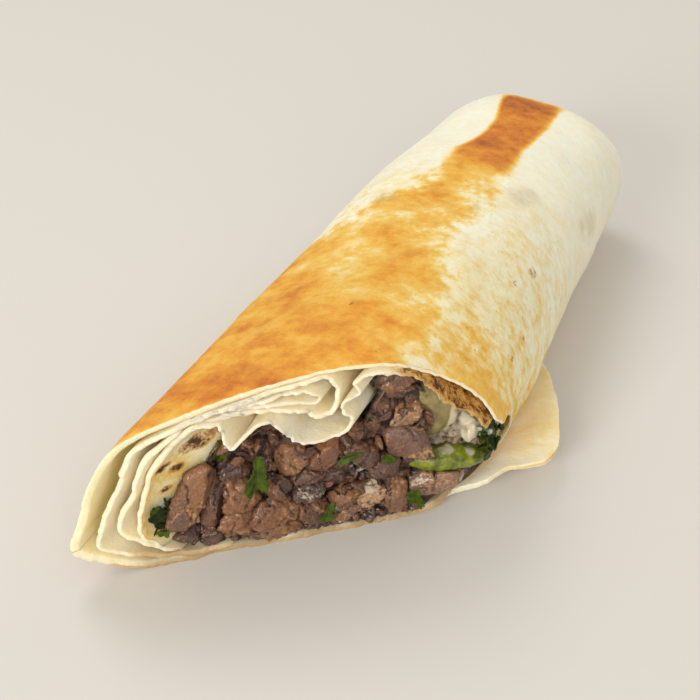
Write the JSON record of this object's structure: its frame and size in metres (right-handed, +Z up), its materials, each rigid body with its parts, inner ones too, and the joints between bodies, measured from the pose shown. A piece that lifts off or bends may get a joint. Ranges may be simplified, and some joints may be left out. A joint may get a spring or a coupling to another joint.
{
  "type": "wrap sandwich",
  "caption": "Half of a toasted flatbread wrap, cut at a slant, its end packed with chopped roast meat, pickle and herbs. Food, to eat or dress a scene.",
  "frame": {"origin": "on the underside, at the middle of the bounding box", "axes": "+X across the roll, +Y along the roll from the cut towards the folded end, +Z up from the underside"},
  "size_m": [0.0672, 0.16, 0.038],
  "materials": {
    "flatbread": "thin baked flatbread, pale and floury with a toasted golden brown band",
    "meat": "chopped roast meat, moist, mauve grey inside with browned rough edges",
    "pickle": "pickled cucumber, wet and slightly clear",
    "onion": "pale wet onion",
    "green_rib": "fresh yellow green leaf rib, wet",
    "herb": "chopped green parsley"
  },
  "bodies": {
    "root": {"flatbread": "flatbread", "herb_leaf_1": "herb", "herb_leaf_2": "herb", "herb_leaf_3": "herb", "herb_leaf_4": "herb", "herb_leaf_5": "herb", "herb_leaf_6": "herb", "herb_clump_right": "herb", "herb_clump_left": "herb", "pickle_slice": "pickle", "onion_piece": "onion", "green_rib": "green_rib", "meat_piece_01": "meat", "meat_piece_02": "meat", "meat_piece_03": "meat", "meat_piece_04": "meat", "meat_piece_05": "meat", "meat_piece_06": "meat", "meat_piece_07": "meat", "meat_piece_08": "meat", "meat_piece_09": "meat", "meat_piece_10": "meat", "meat_piece_11": "meat", "meat_piece_12": "meat", "meat_piece_13": "meat", "meat_piece_14": "meat", "meat_piece_15": "meat", "meat_piece_16": "meat", "meat_piece_17": "meat", "meat_piece_18": "meat", "meat_piece_19": "meat", "meat_piece_20": "meat", "meat_piece_21": "meat", "meat_piece_22": "meat", "meat_piece_23": "meat", "meat_piece_24": "meat", "meat_piece_25": "meat", "meat_piece_26": "meat", "meat_piece_27": "meat", "meat_piece_28": "meat", "meat_piece_29": "meat", "meat_piece_30": "meat", "meat_piece_31": "meat", "meat_filling": "meat"}
  },
  "joints": []
}
